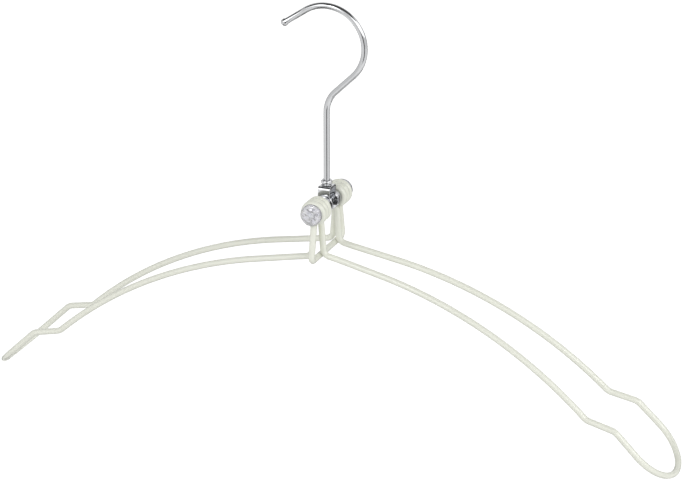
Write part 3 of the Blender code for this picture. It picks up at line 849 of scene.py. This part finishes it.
# A flat ring carries the teeth, which are drawn in from it and rise outward by the
# dish, with a slot of a few of the ring's sides between them
for side, facing in HUB_ENDS:
    star = bmesh.new()
    bmesh.ops.create_circle(star, segments=NUT_SIDES, radius=NUT_RADIUS)
    ring = star.edges[:]
    made = bmesh.ops.extrude_edge_only(star, edges=ring)["geom"]
    inner = new_part(made, bmesh.types.BMVert)
    bmesh.ops.scale(star, vec=[NUT_RIM / NUT_RADIUS] * 3, verts=inner)
    teeth = []
    for edge in new_part(made, bmesh.types.BMEdge):
        if all(abs(vert.co.length - NUT_RIM) < WELD_DISTANCE for vert in edge.verts):
            middle = (edge.verts[0].co + edge.verts[1].co) / 2
            turn = math.degrees(math.atan2(middle.y, middle.x)) % (360 / NUT_TEETH)
            if turn * NUT_SIDES / 360 > NUT_SLOT_SIDES:
                teeth.append(edge)
    before = NUT_RIM
    for i in range(1, TOOTH_STEPS + 1):
        made = bmesh.ops.extrude_edge_only(star, edges=teeth)["geom"]
        tips = new_part(made, bmesh.types.BMVert)
        reach = NUT_RIM + (NUT_TOOTH_TIP - NUT_RIM) * i / TOOTH_STEPS
        bmesh.ops.scale(star, vec=(reach / before, reach / before, 1), verts=tips)
        bmesh.ops.translate(star, vec=(0, 0, NUT_DISH / TOOTH_STEPS), verts=tips)
        fresh = set(tips)
        teeth = [e for e in new_part(made, bmesh.types.BMEdge) if fresh.issuperset(e.verts)]
        before = reach
    bmesh.ops.recalc_face_normals(star, faces=star.faces)
    if sum(face.normal.z for face in star.faces) < 0:
        bmesh.ops.reverse_faces(star, faces=star.faces)
    seat = facing @ Matrix.Translation((0, 0, NUT_SEAT + NUT_SHEET))
    bmesh.ops.transform(star, matrix=seat, verts=star.verts)
    nut = make_piece(side + "_push_nut_star", star, nut_steel)
    sheet = nut.modifiers.new("spring_sheet", "SOLIDIFY")
    sheet.thickness = NUT_SHEET
    sheet.offset = -1.0
    sheet.use_even_offset = True
    worn = nut.modifiers.new("blanked_edges", "BEVEL")
    worn.width = NUT_EDGE
    worn.segments = NUT_EDGE_STEPS
    worn.limit_method = "ANGLE"
    worn.angle_limit = SHEET_CORNER
    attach(nut, "bracket")
    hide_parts(side + "_push_nut")

# Caps. Clear plasticised PVC, moulded as a cup and pushed over the push nut, with a
# rounded face. They cover the axle's ends so that nothing snags on them.
CAP_RADIUS = 0.0061
CAP_WALL = 0.0007
CAP_FLOOR = 0.0234
CAP_FACE = 0.0241
CAP_ROUNDING = 0.0008
CAP_LIP_ROUNDING = 0.0002
CAP_INSIDE_ROUNDING = 0.0005

# Clear moulded PVC: glossy and a little milky, with a haze from the mould that varies
# every 2 mm or so, so that the steel star shows through it broken up. Edge on, the cap
# is painted greyer by its angle to the eye: a painted shade that draws the cap's rim.
clear_pvc, tree = new_finish("clear_moulded_pvc")
place = add_node(tree, "TexCoord")
flow = add_node(tree, "TexNoise", {"Vector": place.outputs["Object"], "Scale": 1 / 0.002})
haze = add_node(
    tree,
    "MapRange",
    {"Value": flow.outputs["Fac"], "From Min": 0.3, "From Max": 0.7, "To Min": 0.03, "To Max": 0.13},
)
milk = add_node(
    tree,
    "MapRange",
    {"Value": flow.outputs["Fac"], "From Min": 0.38, "From Max": 0.6},
)
body = add_node(
    tree,
    "Mix",
    {"Factor": milk.outputs["Result"], "A": colour("#F6F6FB"), "B": colour("#FFFFFF")},
    data_type="RGBA",
)
# Painted shade: where the cap turns edge on to the eye, its colour is mixed to grey
graze = add_node(tree, "LayerWeight", {"Blend": 0.5})
depth = add_node(
    tree,
    "MapRange",
    {"Value": graze.outputs["Facing"], "From Min": 0.42, "From Max": 0.52},
)
tint = add_node(
    tree,
    "Mix",
    {"Factor": depth.outputs["Result"], "A": body.outputs["Result"], "B": colour("#D6D6DC")},
    data_type="RGBA",
)
wave = add_node(tree, "Bump", {"Height": flow.outputs["Fac"], "Strength": 0.3, "Distance": 0.0002})
shader = add_node(
    tree,
    "BsdfPrincipled",
    {
        "Base Color": tint.outputs["Result"],
        "Roughness": haze.outputs["Result"],
        "IOR": 1.53,
        "Transmission Weight": 0.79,
        "Normal": wave.outputs["Normal"],
    },
)
add_node(tree, "OutputMaterial", {"Surface": shader.outputs["BSDF"]})

cap_outline = [
    (0.0, CAP_FACE, 0.0),
    (CAP_RADIUS, CAP_FACE, CAP_ROUNDING),
    (CAP_RADIUS, NUT_SEAT, CAP_LIP_ROUNDING),
    (CAP_RADIUS - CAP_WALL, NUT_SEAT, 0.0),
    (CAP_RADIUS - CAP_WALL, CAP_FLOOR, CAP_INSIDE_ROUNDING),
    (0.0, CAP_FLOOR, 0.0),
]
for side, facing in HUB_ENDS:
    shape = turn_on_lathe(cap_outline, facing, closed=False)
    cap = make_solid_piece(side + "_clear_cap", shape, clear_pvc)
    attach(cap, "bracket")
    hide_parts(side + "_cap")

# Studio. A white floor well below the hanger and a white surround; a soft light high on
# the left of the camera and a long one high on the right, each with a hot tube in it;
# and cards out of sight on the other sides, which draw the chrome's dark lines.
FLOOR_Z = -1.5
FLOOR_RADIUS = 6.0
FLOOR_LIFT = 0.6
SURROUND_LIGHT = 0.6
STUDIO_REACH = 2.0
CARD_REACH = 1.1
HANGER_MIDDLE = Vector((0, 0, -0.1))
CAMERA_AZIMUTH = math.radians(22.466)
CAMERA_HEIGHT = math.radians(21.497)
CAMERA_DISTANCE = 1.47616
CAMERA_LENS = 138.03
CAMERA_SENSOR = 36.0
CAMERA_AIM = AXLE + Vector((0.0092, 0, -0.023856))


def bearing(azimuth, height):
    """The way to a place in the studio; azimuth turns from the front to the right."""
    level = math.cos(height)
    return Vector((math.sin(azimuth) * level, -math.cos(azimuth) * level, math.sin(height)))


def stage_sheet(name, finish, lay, width, tall):
    """A flat sheet of the studio, which isn't part of the hanger."""
    shape = bmesh.new()
    bmesh.ops.create_grid(shape, x_segments=1, y_segments=1, size=0.5)
    bmesh.ops.scale(shape, vec=(width, tall, 1), verts=shape.verts)
    bmesh.ops.transform(shape, matrix=lay, verts=shape.verts)
    sheet = make_piece(name, shape, finish)
    return sheet


def seen_directly(tree):
    """One for what the eye, the metal or the clear caps see, nought for soft light."""
    path = add_node(tree, "LightPath")
    seen = path.outputs["Is Camera Ray"]
    for also in ("Is Glossy Ray", "Is Transmission Ray"):
        seen = add_node(tree, "Math", {0: seen, 1: path.outputs[also]}, operation="ADD").outputs[0]
    return add_node(tree, "Clamp", {"Value": seen}).outputs[0]


# Matt white paper: it takes the object's shadow, and is lifted to white for the eye
floor_paper, tree = new_finish("matt_white_paper")
lift = add_node(tree, "Math", {0: seen_directly(tree), 1: FLOOR_LIFT}, operation="MULTIPLY")
shader = add_node(
    tree,
    "BsdfPrincipled",
    {
        "Base Color": colour("#F4F4F4"),
        "Roughness": 0.9,
        "Specular IOR Level": 0.0,
        "Emission Color": (1, 1, 1, 1),
        "Emission Strength": lift.outputs[0],
    },
)
add_node(tree, "OutputMaterial", {"Surface": shader.outputs["BSDF"]})
level = Matrix.Translation((0, 0, FLOOR_Z))
stage_sheet("studio_floor", floor_paper, level, 2 * FLOOR_RADIUS, 2 * FLOOR_RADIUS)

world = bpy.data.worlds.new("studio_surround")
bpy.context.scene.world = world
world.use_nodes = True
world.node_tree.nodes.clear()
tree = world.node_tree
strength = add_node(
    tree,
    "MapRange",
    {"Value": seen_directly(tree), "To Min": SURROUND_LIGHT, "To Max": 1.0},
)
surround = add_node(
    tree,
    "Background",
    {"Color": (1, 1, 1, 1), "Strength": strength.outputs["Result"]},
)
add_node(tree, "OutputWorld", {"Surface": surround.outputs[0]})

# Softboxes and the hot tube in each: radiance, then azimuth, height, width and height
# as seen from the hanger, in degrees
for name, radiance, azimuth, height, wide, tall in (
    ("left_softbox", 1.45, -23, 29, 34, 38),
    ("left_tube", 6.0, -15, 30, 8, 18),
    ("right_softbox", 1.3, 67, 29, 82, 36),
    ("right_tube", 6.0, 60, 34, 10, 14),
):
    lamp = bpy.data.lights.new(name, "AREA")
    lamp.shape = "RECTANGLE"
    lamp.size = 2 * STUDIO_REACH * math.tan(math.radians(wide / 2))
    lamp.size_y = 2 * STUDIO_REACH * math.tan(math.radians(tall / 2))
    lamp.energy = radiance * math.pi * lamp.size * lamp.size_y
    softbox = bpy.data.objects.new(name, lamp)
    bpy.context.scene.collection.objects.link(softbox)
    towards = bearing(math.radians(azimuth), math.radians(height))
    softbox.location = HANGER_MIDDLE + STUDIO_REACH * towards
    softbox.rotation_euler = (-towards).to_track_quat("-Z", "Y").to_euler()
    softbox.visible_camera = False

# Flock cards, dark but for the pale one below: their grey, azimuth, height, width and
# height as seen from the hanger. Only the overhead one also shades the coating.
for name, grey, azimuth, height, wide, tall in (
    ("ceiling_card", "#6B6B6B", 22, 89, 76, 76),
    ("camera_card", "#3A3A3A", 24, -10, 26, 34),
    ("low_left_card", "#4A4A4A", -36, -50, 18, 32),
    ("high_left_card", "#6B6B6B", -75, 47, 44, 28),
    ("low_back_card", "#4A4A4A", -140, -64, 56, 26),
    ("under_card", "#F2F2F2", 60, -80, 64, 50),
    ("back_left_card", "#4A4A4A", -118, -10, 22, 50),
    ("back_card", "#4A4A4A", -160, -20, 24, 40),
    ("back_right_card", "#4A4A4A", 157, -20, 30, 56),
):
    flock, tree = new_finish(name + "_flock")
    shader = add_node(tree, "BsdfPrincipled", {"Base Color": colour(grey), "Roughness": 1.0})
    add_node(tree, "OutputMaterial", {"Surface": shader.outputs["BSDF"]})
    towards = bearing(math.radians(azimuth), math.radians(height))
    lay = Matrix.Translation(HANGER_MIDDLE + CARD_REACH * towards)
    lay = lay @ towards.to_track_quat("Z", "Y").to_matrix().to_4x4()
    across = 2 * CARD_REACH * math.tan(math.radians(wide / 2))
    along = 2 * CARD_REACH * math.tan(math.radians(tall / 2))
    card = stage_sheet(name, flock, lay, across, along)
    card.visible_camera = False
    card.visible_diffuse = name == "ceiling_card"
    card.visible_shadow = False

camera_data = bpy.data.cameras.new("studio_camera")
camera_data.lens = CAMERA_LENS
camera_data.sensor_width = CAMERA_SENSOR
camera_data.sensor_fit = "HORIZONTAL"
camera = bpy.data.objects.new("studio_camera", camera_data)
bpy.context.scene.collection.objects.link(camera)
towards = bearing(CAMERA_AZIMUTH, CAMERA_HEIGHT)
camera.location = CAMERA_AIM + CAMERA_DISTANCE * towards
camera.rotation_euler = (-towards).to_track_quat("-Z", "Y").to_euler()
bpy.context.scene.camera = camera
bpy.context.scene.view_settings.view_transform = "Standard"
